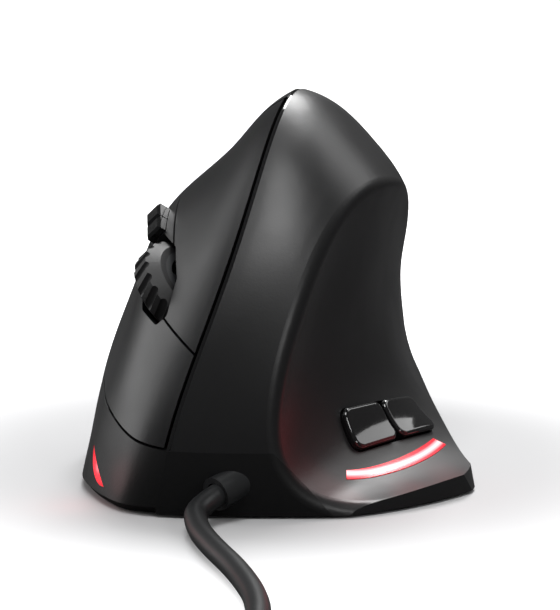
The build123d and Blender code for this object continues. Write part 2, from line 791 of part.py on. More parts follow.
# The cord leaves the front of the case along this plane's Z axis
grommet_turned = math.radians(grommet_turn)
grommet_dipped = math.radians(grommet_dip)
grommet_way = Vector(-math.sin(grommet_turned) * math.cos(grommet_dipped),
                     -math.cos(grommet_turned) * math.cos(grommet_dipped), -math.sin(grommet_dipped))
grommet_plane = Plane(origin=(grommet_x, grommet_y, grommet_z), z_dir=grommet_way)
grommet_reach = 5.2
grommet_front = 4.4

with BuildPart() as case_cavity:
    add(inner_form)
    with BuildSketch(Plane.XY):
        Rectangle(reach, reach)
    extrude(amount=floor_top, mode=Mode.SUBTRACT)

with BuildPart() as floor_plate:
    add(floor_form)
    with BuildSketch(Plane.XY.offset(floor_top)):
        Rectangle(reach, reach)
    extrude(amount=reach, mode=Mode.SUBTRACT)

with BuildPart() as lower_case:
    add(outer.part)
    add(skirt_cut.part, mode=Mode.INTERSECT)
    add(case_cavity.part, mode=Mode.SUBTRACT)
    add(floor_plate.part)
    with BuildSketch(Plane.XY.offset(floor_top)):
        with Locations(*case_posts()):
            Circle(post_radius)
    extrude(amount=main_board_z - floor_top)
    with BuildSketch(Plane.XY.offset(floor_top)):
        with Locations(*case_posts()):
            Circle(boss_hole_radius)
    extrude(amount=main_board_z - floor_top, mode=Mode.SUBTRACT)
    with BuildSketch(Plane.XY):
        with Locations((sensor_x, sensor_y)):
            Circle(lens_window / 2)
        with Locations(*case_screws_at):
            Circle(boss_hole_radius)
    extrude(amount=floor_top, mode=Mode.SUBTRACT)
    with BuildSketch(Plane.XY):
        with Locations(*case_screws_at):
            Circle(screw_head_radius + screw_clearance)
    extrude(amount=screw_seat, mode=Mode.SUBTRACT)
    with BuildSketch(Plane.XY):
        for x, y, turn in feet_at:
            with Locations(Location((x, y, 0), (0, 0, turn))):
                SlotOverall(foot_length, foot_width)
    extrude(amount=foot_thickness, mode=Mode.SUBTRACT)
    add(sliver_zone.part, mode=Mode.SUBTRACT)
    add(rod(grommet_plane, 0, 0, -grommet_reach, grommet_reach, grommet_radius), mode=Mode.SUBTRACT)
    add(rod(grommet_plane, 0, 0, -grommet_reach, -grommet_reach + grommet_collar, grommet_collar_radius),
        mode=Mode.SUBTRACT)
lower_case.part.label = "lower_case"
export_step(lower_case.part, "parts/lower_case.step")

# Finger light, seated in the skirt
with BuildPart() as finger_light:
    add(body_form(0))
    add(body_form(wall + light_seat), mode=Mode.SUBTRACT)
    add(sliver_zone.part, mode=Mode.INTERSECT)
finger_light.part.label = "finger_light"
export_step(finger_light.part, "parts/finger_light.step")

# Slide feet
with BuildPart() as slide_feet:
    with BuildSketch(Plane.XY):
        for x, y, turn in feet_at:
            with Locations(Location((x, y, 0), (0, 0, turn))):
                SlotOverall(foot_length - 2 * screw_clearance, foot_width - 2 * screw_clearance)
    extrude(amount=foot_thickness)
slide_feet.part.label = "slide_feet"
export_step(slide_feet.part, "parts/slide_feet.step")

# DPI keys: each stands out of the tongue, with a flange below it and a stem down to its switch
dpi_tip = board_depth - tact_height - tact_rise - press_gap


def dpi_key(x):
    with BuildPart() as key:
        add(slab(finger_plane, x, 0, -dpi_skirt - dpi_flange_thickness, dpi_rise, dpi_length, dpi_width))
        top = key.faces().sort_by(Axis(finger_plane.origin, finger_plane.z_dir))[-1]
        chamfer(top.edges(), dpi_chamfer)
        add(slab(finger_plane, x, 0, -dpi_skirt - dpi_flange_thickness, -dpi_skirt,
                 dpi_length, dpi_width + 2 * (dpi_gap + dpi_flange)))
        add(rod(finger_plane, x, 0, -dpi_tip, -dpi_skirt, dpi_stem_radius))
    return key.part


with BuildPart() as dpi_down_key:
    add(dpi_key(dpi_first_x))
dpi_down_key.part.label = "dpi_down_key"
export_step(dpi_down_key.part, "parts/dpi_down_key.step")

with BuildPart() as dpi_up_key:
    add(dpi_key(dpi_first_x - dpi_pitch))
dpi_up_key.part.label = "dpi_up_key"
export_step(dpi_up_key.part, "parts/dpi_up_key.step")

# Scroll wheel: the axle lies along the finger plane's Y axis, below the panel
wheel_middle = at(finger_plane, 0, 0, -wheel_depth)
wheel_plane = Plane(origin=wheel_middle, x_dir=finger_plane.x_dir, z_dir=finger_plane.y_dir)
profile_plane = Plane(origin=wheel_middle, x_dir=finger_plane.z_dir, z_dir=-finger_plane.x_dir)
wheel_axis = Axis(wheel_middle, finger_plane.y_dir)

with BuildPart() as wheel_tyre:
    with BuildSketch(profile_plane):
        with BuildLine():
            Polyline((hub_radius, -wheel_width / 2), (wheel_radius - wheel_shoulder, -wheel_width / 2),
                     (wheel_radius, -wheel_rim_width / 2), (wheel_radius, wheel_rim_width / 2),
                     (wheel_radius - wheel_shoulder, wheel_width / 2), (hub_radius, wheel_width / 2),
                     close=True)
        make_face()
    revolve(axis=wheel_axis)
    with Locations(wheel_plane):
        with PolarLocations(wheel_radius + rib_radius / 3, rib_count):
            Cylinder(rib_radius, 2 * wheel_width, rotation=(rib_slant, 0, 0), mode=Mode.SUBTRACT)
wheel_tyre.part.label = "wheel_tyre"
export_step(wheel_tyre.part, "parts/wheel_tyre.step")

hub_recess = 1.4
hub_boss_radius = 2.6
spoke_hole_radius = 1.3
spoke_count = 6
with BuildPart() as wheel_hub:
    with BuildSketch(raised(wheel_plane, -wheel_width / 2)):
        Circle(hub_radius)
        Circle(axle_radius, mode=Mode.SUBTRACT)
    extrude(amount=wheel_width)
    for side in (-1, 1):
        with BuildSketch(raised(wheel_plane, side * wheel_width / 2)):
            Circle(hub_radius - hub_recess)
            Circle(hub_boss_radius, mode=Mode.SUBTRACT)
        extrude(amount=-side * hub_recess, mode=Mode.SUBTRACT)
    with BuildSketch(raised(wheel_plane, -wheel_width / 2)):
        with PolarLocations((hub_boss_radius + hub_radius - hub_recess) / 2, spoke_count):
            Circle(spoke_hole_radius)
    extrude(amount=wheel_width, mode=Mode.SUBTRACT)
wheel_hub.part.label = "wheel_hub"
export_step(wheel_hub.part, "parts/wheel_hub.step")

# Axle: it turns with the wheel, in the far bar of the carrier and in the encoder's rotor
bar_inner = wheel_width / 2 + carrier_side_gap
bar_outer = bar_inner + carrier_bar
encoder_inner = bar_outer + carrier_side_gap / 4
encoder_outer = encoder_inner + encoder_width
rotor_radius = 1.7
with BuildPart() as wheel_axle:
    add(rod(wheel_plane, 0, 0, -encoder_outer + carrier_side_gap, bar_outer, axle_radius))
wheel_axle.part.label = "wheel_axle"
export_step(wheel_axle.part, "parts/wheel_axle.step")

with BuildPart() as encoder_rotor:
    with BuildSketch(raised(wheel_plane, -encoder_outer + carrier_side_gap)):
        Circle(rotor_radius)
        Circle(axle_radius, mode=Mode.SUBTRACT)
    extrude(amount=encoder_outer - bar_outer - carrier_side_gap)
encoder_rotor.part.label = "encoder_rotor"
export_step(encoder_rotor.part, "parts/encoder_rotor.step")

with BuildPart() as encoder_body:
    add(rod(wheel_plane, 0, 0, -encoder_outer, -encoder_inner, encoder_radius))
    add(slab(finger_plane, 0, -(encoder_inner + encoder_outer) / 2, -wheel_depth - encoder_foot,
             -wheel_depth, 2 * encoder_radius, encoder_width))
    add(rod(wheel_plane, 0, 0, -encoder_outer + carrier_side_gap - axle_clearance * 2, -encoder_inner,
            rotor_radius + axle_clearance), mode=Mode.SUBTRACT)
encoder_body.part.label = "encoder_body"
export_step(encoder_body.part, "parts/encoder_body.step")

# Carrier: a fork round the wheel that rocks on two pins behind it and presses the wheel switch
pivot_x = -carrier_back + carrier_bar
pivot_depth = 7.4
carrier_low = -wheel_depth - carrier_height / 2
carrier_high = -wheel_depth + carrier_height / 2
carrier_length = carrier_front + carrier_back
carrier_middle = (carrier_front - carrier_back) / 2
carrier_open_front = wheel_radius + carrier_side_gap
with BuildPart() as wheel_carrier:
    add(slab(finger_plane, carrier_middle, 0, carrier_low, carrier_high, carrier_length, 2 * bar_outer))
    add(slab(finger_plane, (carrier_open_front - carrier_length) / 2, 0, carrier_low, carrier_high,
             carrier_open_front + carrier_length, 2 * bar_inner), mode=Mode.SUBTRACT)
    add(rod(wheel_plane, 0, 0, -2 * bar_outer, 2 * bar_outer, axle_radius + axle_clearance),
        mode=Mode.SUBTRACT)
    add(slab(finger_plane, encoder_radius + carrier_bar / 2, -(encoder_inner + encoder_outer) / 2,
             carrier_low, -wheel_depth, carrier_bar, encoder_width + 2 * (encoder_inner - bar_outer)))
    add(slab(finger_plane, -encoder_radius - carrier_bar / 2, -(encoder_inner + encoder_outer) / 2,
             carrier_low, -wheel_depth, carrier_bar, encoder_width + 2 * (encoder_inner - bar_outer)))
    pivot_plane = Plane(origin=at(finger_plane, pivot_x, 0, -pivot_depth), x_dir=finger_plane.x_dir,
                        z_dir=finger_plane.y_dir)
    ear_inner = bar_outer + carrier_side_gap / 3
    ear_outer = ear_inner + ear_width_share * pivot_radius
    for start, end in ((-ear_outer, -bar_inner), (bar_inner, ear_outer)):
        add(rod(pivot_plane, 0, 0, start, end, pivot_radius))
wheel_carrier.part.label = "wheel_carrier"
export_step(wheel_carrier.part, "parts/wheel_carrier.step")

# Finger board, with its cut-outs for the wheel and for the carrier's ears
board_low_z = -board_depth - board_thickness
ear_width = 2 * pivot_radius + carrier_bar
ear_middle = (ear_inner + ear_outer) / 2
ear_thickness = ear_outer - ear_inner - carrier_side_gap / 2
standoff_radius = 2.1
board_screws_at = [(-20.6, 10.6), (-8.6, -11.2), (16.0, 6.4)]
with BuildPart() as finger_board:
    add(slab(finger_plane, (board_front - board_back) / 2, (board_high - board_low) / 2, board_low_z,
             -board_depth, board_front + board_back, board_high + board_low))
    add(clear_form, mode=Mode.INTERSECT)
    add(slab(finger_plane, 0, 0, board_low_z, -board_depth, 2 * carrier_open_front,
             wheel_width + carrier_side_gap),
        mode=Mode.SUBTRACT)
    for side in (-1, 1):
        add(slab(finger_plane, pivot_x, side * ear_middle, board_low_z, -board_depth,
                 ear_width + 2 * shell_gap, ear_thickness + 2 * shell_gap), mode=Mode.SUBTRACT)
    for x, y in board_screws_at:
        add(rod(finger_plane, x, y, board_low_z, -board_depth, boss_hole_radius), mode=Mode.SUBTRACT)
finger_board.part.label = "finger_board"
export_step(finger_board.part, "parts/finger_board.step")

# Inner frame: a plate below the finger board on two ribs that stand on the floor
frame_low_z = -frame_depth - frame_thickness
with BuildPart() as inner_frame:
    add(slab(finger_plane, (board_front - board_back) / 2, (board_high - board_low) / 2, frame_low_z,
             -frame_depth, board_front + board_back, board_high + board_low))
    for rib_y in (front_rib_y, rear_rib_y):
        with BuildSketch(Plane.XY.offset(floor_top)):
            with Locations(((rib_outer_x + rib_inner_x) / 2, rib_y)):
                Rectangle(rib_inner_x - rib_outer_x, rib_thickness)
        extrude(amount=half_length)
    add(slab(finger_plane, 0, 0, -frame_depth, fan_reach, reach, reach), mode=Mode.SUBTRACT)
    add(clear_form, mode=Mode.INTERSECT)
    add(slab(finger_plane, 0, 0, frame_low_z - wall, fan_reach, 2 * carrier_open_front,
             wheel_width + carrier_side_gap),
        mode=Mode.SUBTRACT)
    for rib_y in (front_rib_y, rear_rib_y):
        with BuildSketch(Plane.XY.offset(floor_top)):
            with Locations(((rib_outer_x + rib_inner_x) / 2, rib_y)):
                Rectangle((rib_inner_x - rib_outer_x) / 2, 4 * rib_thickness)
        extrude(amount=rib_thickness)
    for x, y in board_screws_at:
        add(rod(finger_plane, x, y, -frame_depth, board_low_z, standoff_radius))
        add(rod(finger_plane, x, y, board_low_z - small_screw_length, board_low_z, boss_hole_radius),
            mode=Mode.SUBTRACT)
    for side in (-1, 1):
        add(slab(finger_plane, pivot_x, side * ear_middle, -frame_depth,
                 -pivot_depth + pivot_radius + carrier_bar / 2,
                 ear_width, ear_thickness))
        add(rod(pivot_plane, 0, 0, -2 * ear_outer, 2 * ear_outer, pivot_radius + pivot_clearance),
            mode=Mode.SUBTRACT)
inner_frame.part.label = "inner_frame"
export_step(inner_frame.part, "parts/inner_frame.step")


def screw_set(plane, places, seat, length):
    """Pan head screws whose heads sit on a height of a plane and whose shanks run down from it."""
    with BuildPart() as screws:
        for x, y in places:
            add(rod(plane, x, y, seat - length, seat, screw_radius))
            add(rod(plane, x, y, seat, seat + screw_head_height, screw_head_radius))
            add(slab(plane, x, y, seat + screw_head_height / 2, seat + screw_head_height,
                     2 * screw_head_radius, screw_head_height / 4), mode=Mode.SUBTRACT)
    return screws.part


with BuildPart() as board_screws:
    add(screw_set(finger_plane, board_screws_at, -board_depth,
                  board_thickness + small_screw_length - wall / 4))
board_screws.part.label = "board_screws"
export_step(board_screws.part, "parts/board_screws.step")

under_plane = Plane(origin=(0, 0, 0), x_dir=(1, 0, 0), z_dir=(0, 0, -1))
with BuildPart() as case_screws:
    add(screw_set(under_plane, [(x, -y) for x, y in case_screws_at], -screw_seat, screw_length))
case_screws.part.label = "case_screws"
export_step(case_screws.part, "parts/case_screws.step")

# Snap switches under the index and middle buttons, each with its plunger
snap_top = -board_depth + snap_height


def snap_switch(x, y, plunger_x):
    with BuildPart() as switch:
        add(slab(finger_plane, x, y, -board_depth, snap_top, snap_length, snap_width))
        add(slab(finger_plane, plunger_x, y, snap_top - plunger_root - snap_plunger_rise, snap_top,
                 snap_plunger_length + 2 * plunger_clearance, snap_plunger_width + 2 * plunger_clearance),
            mode=Mode.SUBTRACT)
    return switch.part


def snap_plunger(x, y):
    with BuildPart() as plunger:
        add(slab(finger_plane, x, y, snap_top - plunger_root, snap_top + snap_plunger_rise,
                 snap_plunger_length, snap_plunger_width))
    return plunger.part


with BuildPart() as index_switch:
    add(snap_switch(index_switch_x, index_switch_y, index_switch_x + snap_plunger_offset))
index_switch.part.label = "index_switch"
export_step(index_switch.part, "parts/index_switch.step")

with BuildPart() as index_plunger:
    add(snap_plunger(index_switch_x + snap_plunger_offset, index_switch_y))
index_plunger.part.label = "index_plunger"
export_step(index_plunger.part, "parts/index_plunger.step")

with BuildPart() as middle_switch:
    add(snap_switch(middle_switch_x, middle_switch_y, middle_switch_x - snap_plunger_offset))
middle_switch.part.label = "middle_switch"
export_step(middle_switch.part, "parts/middle_switch.step")

with BuildPart() as middle_plunger:
    add(snap_plunger(middle_switch_x - snap_plunger_offset, middle_switch_y))
middle_plunger.part.label = "middle_plunger"
export_step(middle_plunger.part, "parts/middle_plunger.step")


def tact_switch(plane, x, y, base, height, length, width, bore, root):
    """A square switch body whose bore takes a round plunger."""
    with BuildPart() as switch:
        add(slab(plane, x, y, base, base + height, length, width))
        add(rod(plane, x, y, base + height - root, base + height, bore + plunger_clearance),
            mode=Mode.SUBTRACT)
    return switch.part


# Wheel switch and its plunger, below the front bar of the carrier
wheel_tact_height = carrier_low + board_depth - tact_rise - press_gap
with BuildPart() as wheel_switch:
    add(tact_switch(finger_plane, wheel_tact_x + wheel_tact_radius, 0, -board_depth, wheel_tact_height,
                    wheel_tact_size, wheel_tact_size, wheel_tact_radius, plunger_root + tact_rise))
    add(clear_form, mode=Mode.INTERSECT)
wheel_switch.part.label = "wheel_switch"
export_step(wheel_switch.part, "parts/wheel_switch.step")

with BuildPart() as wheel_plunger:
    add(rod(finger_plane, wheel_tact_x + wheel_tact_radius, 0,
            -board_depth + wheel_tact_height - plunger_root + tact_rise,
            -board_depth + wheel_tact_height + tact_rise, wheel_tact_radius))
wheel_plunger.part.label = "wheel_plunger"
export_step(wheel_plunger.part, "parts/wheel_plunger.step")

# DPI switches and their plungers
for name, x in (("dpi_down", dpi_first_x), ("dpi_up", dpi_first_x - dpi_pitch)):
    with BuildPart() as dpi_switch:
        add(tact_switch(finger_plane, x, 0, -board_depth, tact_height, dpi_tact_length, dpi_tact_width,
                        dpi_plunger_radius, plunger_root + tact_rise))
    dpi_switch.part.label = name + "_switch"
    export_step(dpi_switch.part, "parts/" + name + "_switch.step")
    with BuildPart() as dpi_plunger:
        add(rod(finger_plane, x, 0, -board_depth + tact_height - plunger_root + tact_rise,
                -board_depth + tact_height + tact_rise, dpi_plunger_radius))
    dpi_plunger.part.label = name + "_plunger"
    export_step(dpi_plunger.part, "parts/" + name + "_plunger.step")

# Thumb switches, their plungers and their board
for name, x in (("forward", -button_step), ("back", button_step)):
    with BuildPart() as thumb_switch:
        add(tact_switch(thumb_plane, x, 0, -thumb_board_depth, thumb_tact_height, thumb_tact_size,
                        thumb_tact_size, thumb_plunger_radius, thumb_plunger_root + thumb_tact_rise))
    thumb_switch.part.label = name + "_switch"
    export_step(thumb_switch.part, "parts/" + name + "_switch.step")
    with BuildPart() as thumb_plunger:
        add(rod(thumb_plane, x, 0,
                -thumb_board_depth + thumb_tact_height - thumb_plunger_root + thumb_tact_rise,
                -thumb_tact_top, thumb_plunger_radius))
    thumb_plunger.part.label = name + "_plunger"
    export_step(thumb_plunger.part, "parts/" + name + "_plunger.step")

with BuildPart() as thumb_board:
    add(slab(thumb_plane, 0, 0, -thumb_board_depth - thumb_board_thickness, -thumb_board_depth,
             thumb_board_length, thumb_board_height))
    add(floor_form, mode=Mode.INTERSECT)
    with BuildSketch(Plane.XY):
        Rectangle(reach, reach)
    extrude(amount=floor_top + shell_gap, mode=Mode.SUBTRACT)
thumb_board.part.label = "thumb_board"
export_step(thumb_board.part, "parts/thumb_board.step")

# Main board on its posts, with the sensor, its lens, the controller and the cable connector
main_board_top = main_board_z + main_board_thickness
with BuildPart() as main_board:
    add(slab(Plane.XY, main_board_x, main_board_y, main_board_z, main_board_top, main_board_width,
             main_board_length))
    with BuildSketch(Plane.XY.offset(main_board_z)):
        with Locations(*case_posts()):
            Circle(boss_hole_radius)
        with Locations((sensor_x, sensor_y)):
            Circle(lens_radius)
    extrude(amount=main_board_thickness, mode=Mode.SUBTRACT)
main_board.part.label = "main_board"
export_step(main_board.part, "parts/main_board.step")

with BuildPart() as main_screws:
    add(screw_set(Plane.XY, case_posts(), main_board_top, main_board_thickness + small_screw_length))
main_screws.part.label = "main_screws"
export_step(main_screws.part, "parts/main_screws.step")

with BuildPart() as sensor_chip:
    add(slab(Plane.XY, sensor_x, sensor_y, main_board_top, main_board_top + sensor_height, sensor_length,
             sensor_width))
sensor_chip.part.label = "sensor_chip"
export_step(sensor_chip.part, "parts/sensor_chip.step")

with BuildPart() as sensor_lens:
    add(slab(Plane.XY, sensor_x, sensor_y, floor_top, floor_top + lens_rim, lens_length, lens_width))
    add(rod(Plane.XY, sensor_x, sensor_y, floor_top - lens_rim / 2, main_board_z, lens_radius - shell_gap))
sensor_lens.part.label = "sensor_lens"
export_step(sensor_lens.part, "parts/sensor_lens.step")

with BuildPart() as controller_chip:
    add(slab(Plane.XY, main_board_x, main_board_y + main_board_length / 4, main_board_top,
             main_board_top + chip_height, chip_size, chip_size))
controller_chip.part.label = "controller_chip"
export_step(controller_chip.part, "parts/controller_chip.step")

with BuildPart() as cable_connector:
    add(slab(Plane.XY, main_board_x + main_board_width / 3, main_board_y,
             main_board_top, main_board_top + connector_height, connector_width, connector_length))
cable_connector.part.label = "cable_connector"
export_step(cable_connector.part, "parts/cable_connector.step")

# Lamps below the two light guides
lamp_length = 3.2
lamp_width = 1.8
lamp_height = 0.5
with BuildPart() as thumb_lamp:
    for place in (light_bend, light_front):
        add(slab(Plane.XY, place[0] - light_width / 2, place[1] + 2 * light_width, floor_top,
                 floor_top + lamp_height, lamp_length, lamp_width))
thumb_lamp.part.label = "thumb_lamp"
export_step(thumb_lamp.part, "parts/thumb_lamp.step")

with BuildPart() as finger_lamp:
    add(slab(Plane.XY, sliver_x + 3 * wall, sliver_y + wall, floor_top, floor_top + lamp_length,
             lamp_width, lamp_length))
finger_lamp.part.label = "finger_lamp"
export_step(finger_lamp.part, "parts/finger_lamp.step")

# Grommet round the cord, with a collar behind the wall
with BuildPart() as grommet:
    add(rod(grommet_plane, 0, 0, -grommet_reach, grommet_front, grommet_radius))
    add(rod(grommet_plane, 0, 0, -grommet_reach, -grommet_reach + grommet_collar, grommet_collar_radius))
    add(rod(grommet_plane, 0, 0, -grommet_reach, grommet_front, cord_radius), mode=Mode.SUBTRACT)
grommet.part.label = "grommet"
export_step(grommet.part, "parts/grommet.step")

# The cord's route on the table
cord_rise = 2.25
rounding_share = 0.45
cord_route = [
    (-5.07, -48.94, 7.48),
    (-15.39, -59.64, 4.32),
    (-14.9, -68.5, 2.6),
    (-12.3, -80.0, 2.25),
    (-6.4, -100.0, 2.25),
    (-2.5, -122.0, 2.25),
    (-4.0, -148.0, 2.25),
    (-13.5, -178.0, 2.25),
    (-26.0, -210.0, 2.25),
    (-29.5, -241.0, 2.25),
    (-29.5, -261.6, 2.25),
]
tail_route = [
    (29.5, -261.6, 16.95),
    (29.5, -251.0, 16.95),
    (30.5, -214.0, 4.1),
    (31.5, -198.0, 4.1),
]
lead_route = [
    (-4.5, -48.3, 7.7),
    (-4.0, -45.4, 8.5),
    (-1.8, -36.0, 10.0),
    (4.0, -16.0, 11.6),
    (8.33, -4.0, 11.35),
    (8.33, 7.0, 11.35),
]
lead_radius = 1.2


def cord_tube(route, radius):
    """A tube along a route whose corners are rounded as wide as the runs allow."""
    runs = [Vector(end) - Vector(start) for start, end in zip(route, route[1:])]
    bends = []
    for before, after in zip(runs, runs[1:]):
        half_turn = math.radians(before.get_angle(after)) / 2
        bends.append(rounding_share * min(before.length, after.length) / math.tan(half_turn))
    print("bend radii", [round(bend, 1) for bend in bends])
    with BuildPart() as tube:
        with BuildLine() as path:
            FilletPolyline(*route, radius=bends)
        with BuildSketch(Plane(origin=route[0], z_dir=runs[0])):
            Circle(radius)
        sweep(path=path.wire())
    print("length", round(path.wire().length, 1))
    return tube.part


with BuildPart() as cord:
    add(cord_tube(cord_route, cord_radius))
cord.part.label = "cord"
export_step(cord.part, "parts/cord.step")

with BuildPart() as cord_tail:
    add(cord_tube(tail_route, cord_radius))
cord_tail.part.label = "cord_tail"
export_step(cord_tail.part, "parts/cord_tail.step")

with BuildPart() as cord_lead:
    add(cord_tube(lead_route, lead_radius))
cord_lead.part.label = "cord_lead"
export_step(cord_lead.part, "parts/cord_lead.step")

# Coil: every upper half turn is centred on the coil, every lower one is centred half a pitch aside,
# and the half turn between two layers climbs as two arcs in space
coil_layers = 4
coil_outer_radius = coil_inner_radius + 3 * coil_pitch
coil_straight = 2 * cord_radius

with BuildLine() as coil_line:
    here = Vector(coil_x - coil_outer_radius, coil_y, cord_rise)
    Line(here + Vector(0, coil_straight, 0), here)
    radius = coil_outer_radius
    for layer in range(coil_layers):
        step = coil_pitch if layer % 2 else -coil_pitch
        for turn in range(half_turns_per_layer):
            if turn % 2:
                there = Vector(coil_x - radius, coil_y, here.Z)
                bow = Vector(coil_x, coil_y + radius, here.Z)
            else:
                there = Vector(coil_x + radius + step, coil_y, here.Z)
                bow = Vector(coil_x + step / 2, coil_y - radius - step / 2, here.Z)
                radius += step
            ThreePointArc(here, bow, there)
            here = there
        if layer < coil_layers - 1:
            crest = Vector(coil_x, coil_y + math.hypot(radius, coil_pitch / 2), here.Z + coil_pitch / 2)
            there = Vector(coil_x - radius, coil_y, here.Z + coil_pitch)
            TangentArc(here, crest, tangent=(0, 1, 0))
            TangentArc(crest, there, tangent=(-radius, 0, coil_pitch / 2))
            here = there
    Line(here, here + Vector(0, coil_straight, 0))

coil_wire = coil_line.wire()
with BuildPart() as cord_coil:
    with BuildSketch(Plane(origin=coil_wire @ 0, z_dir=(0, -1, 0))):
        Circle(cord_radius)
    sweep(path=coil_wire)
cord_coil.part.label = "cord_coil"
export_step(cord_coil.part, "parts/cord_coil.step")

probe_count = 1500
probes = [tuple(coil_wire @ (step / probe_count)) for step in range(probe_count + 1)]
apart = round(probe_count * math.pi * coil_inner_radius / coil_wire.length)
least = min(math.dist(probe, other) for place, probe in enumerate(probes)
            for other in probes[place + apart:])
print("coil length", round(coil_wire.length, 1), "least gap", round(least - 2 * cord_radius, 2))

# USB plug at the far end of the cord
plug_way = Vector(tail_route[-1]) - Vector(tail_route[-2])
plug_plane = Plane(origin=tail_route[-1], x_dir=(plug_way.Y, -plug_way.X, 0), z_dir=plug_way)
neck_hold = 6.0
neck_front = plug_neck_length - neck_hold
body_front = neck_front + plug_length
shell_front = body_front + plug_shell_length
shell_hold = 2.0
shell_back = body_front - shell_hold
neck_groove_radius = 0.5
neck_groove_pitch = 1.6

with BuildPart() as plug_neck:
    add(rod(plug_plane, 0, 0, -neck_hold, neck_front, plug_neck_radius))
    for groove in range(4):
        with Locations(raised(plug_plane, -neck_hold + neck_groove_pitch * (groove + 1))):
            Torus(plug_neck_radius, neck_groove_radius, mode=Mode.SUBTRACT)
    add(rod(plug_plane, 0, 0, -neck_hold, 0, cord_radius), mode=Mode.SUBTRACT)
plug_neck.part.label = "plug_neck"
export_step(plug_neck.part, "parts/plug_neck.step")

with BuildPart() as plug_body:
    with BuildSketch(raised(plug_plane, neck_front)):
        RectangleRounded(plug_width, plug_height, plug_edge)
    extrude(amount=plug_length)
    add(slab(plug_plane, 0, 0, shell_back, body_front, plug_shell_width, plug_shell_height),
        mode=Mode.SUBTRACT)
plug_body.part.label = "plug_body"
export_step(plug_body.part, "parts/plug_body.step")

bore_width = plug_shell_width - 2 * plug_shell_wall
bore_height = plug_shell_height - 2 * plug_shell_wall
with BuildPart() as plug_shell:
    add(slab(plug_plane, 0, 0, shell_back, shell_front, plug_shell_width, plug_shell_height))
    add(slab(plug_plane, 0, 0, shell_back, shell_front, bore_width, bore_height), mode=Mode.SUBTRACT)
plug_shell.part.label = "plug_shell"
export_step(plug_shell.part, "parts/plug_shell.step")

tongue_y = (bore_height - plug_tongue_height) / 2
tongue_front = shell_front - shell_hold / 2
with BuildPart() as plug_tongue:
    add(slab(plug_plane, 0, 0, shell_back, body_front, bore_width, bore_height))
    add(slab(plug_plane, 0, tongue_y, body_front, tongue_front, bore_width, plug_tongue_height))
plug_tongue.part.label = "plug_tongue"
export_step(plug_tongue.part, "parts/plug_tongue.step")

contact_y = tongue_y - plug_tongue_height / 2 - plug_contact_thickness / 2
with BuildPart() as plug_contacts:
    for place in (-1.5, -0.5, 0.5, 1.5):
        add(slab(plug_plane, place * plug_contact_pitch, contact_y, body_front,
                 tongue_front - shell_hold / 2,
                 plug_contact_width, plug_contact_thickness))
plug_contacts.part.label = "plug_contacts"
export_step(plug_contacts.part, "parts/plug_contacts.step")
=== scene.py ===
# %% [markdown]
# # A vertical mouse, dressed for its photograph
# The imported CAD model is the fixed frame: every hard shell, button, wheel and board comes from it.
# This script adds what CAD leaves out: the cord at its real length, the finishes, and the light.

# %% Load the frame
import math

import bmesh
import bpy
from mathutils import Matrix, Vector


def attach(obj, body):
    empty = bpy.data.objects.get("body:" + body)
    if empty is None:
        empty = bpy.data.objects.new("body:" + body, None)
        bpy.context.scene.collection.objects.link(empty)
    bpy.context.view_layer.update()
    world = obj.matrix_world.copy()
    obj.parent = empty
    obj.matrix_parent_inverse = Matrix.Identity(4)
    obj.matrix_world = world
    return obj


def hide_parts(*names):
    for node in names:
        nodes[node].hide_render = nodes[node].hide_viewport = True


MM = 0.001
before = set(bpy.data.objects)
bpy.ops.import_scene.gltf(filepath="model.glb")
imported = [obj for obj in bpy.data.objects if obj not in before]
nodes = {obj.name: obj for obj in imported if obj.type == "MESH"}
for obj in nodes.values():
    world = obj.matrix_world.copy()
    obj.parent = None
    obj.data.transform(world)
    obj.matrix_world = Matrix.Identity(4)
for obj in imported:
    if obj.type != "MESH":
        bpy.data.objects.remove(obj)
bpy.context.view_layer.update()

# %% [markdown]
# ## The camera
# A product photograph is taken from far off with a long lens, which keeps the sides upright. The
# focal length is about 180 mm. The camera looks down by ten degrees, square to the mouse's front.

# %% Camera
IMAGE_HEIGHT = 610
CAMERA_TARGET = Vector((0, -10, 35)) * MM
CAMERA_DISTANCE = 620 * MM
CAMERA_ELEVATION = math.radians(10)
CAMERA_LENS = 181.8
FRAME_SHIFT = (3 / IMAGE_HEIGHT, -7 / IMAGE_HEIGHT)

camera_data = bpy.data.cameras.new("camera")
camera_data.lens = CAMERA_LENS
camera_data.shift_x, camera_data.shift_y = FRAME_SHIFT
camera = bpy.data.objects.new("camera", camera_data)
bpy.context.collection.objects.link(camera)
away = Vector((0, -math.cos(CAMERA_ELEVATION), math.sin(CAMERA_ELEVATION)))
camera.location = CAMERA_TARGET + away * CAMERA_DISTANCE
camera.rotation_euler = (-away).to_track_quat("-Z", "Y").to_euler()
bpy.context.scene.camera = camera
print("camera at mm:", [round(value / MM) for value in camera.location])

# %% [markdown]
# ## The cord
# A mouse cord is a soft PVC jacket, 4.4 mm thick and about 1.8 m long. It leaves the front of the
# case through a grommet, drops to the table and runs out of view. The rest is put away in a coil.
# One NURBS spline draws it all: the control points of the route lie where a hand would lay them,
# and those of the coil come from half turns. The bevel is 1 and each point's radius gives the
# thickness, which keeps the curve's own box true.

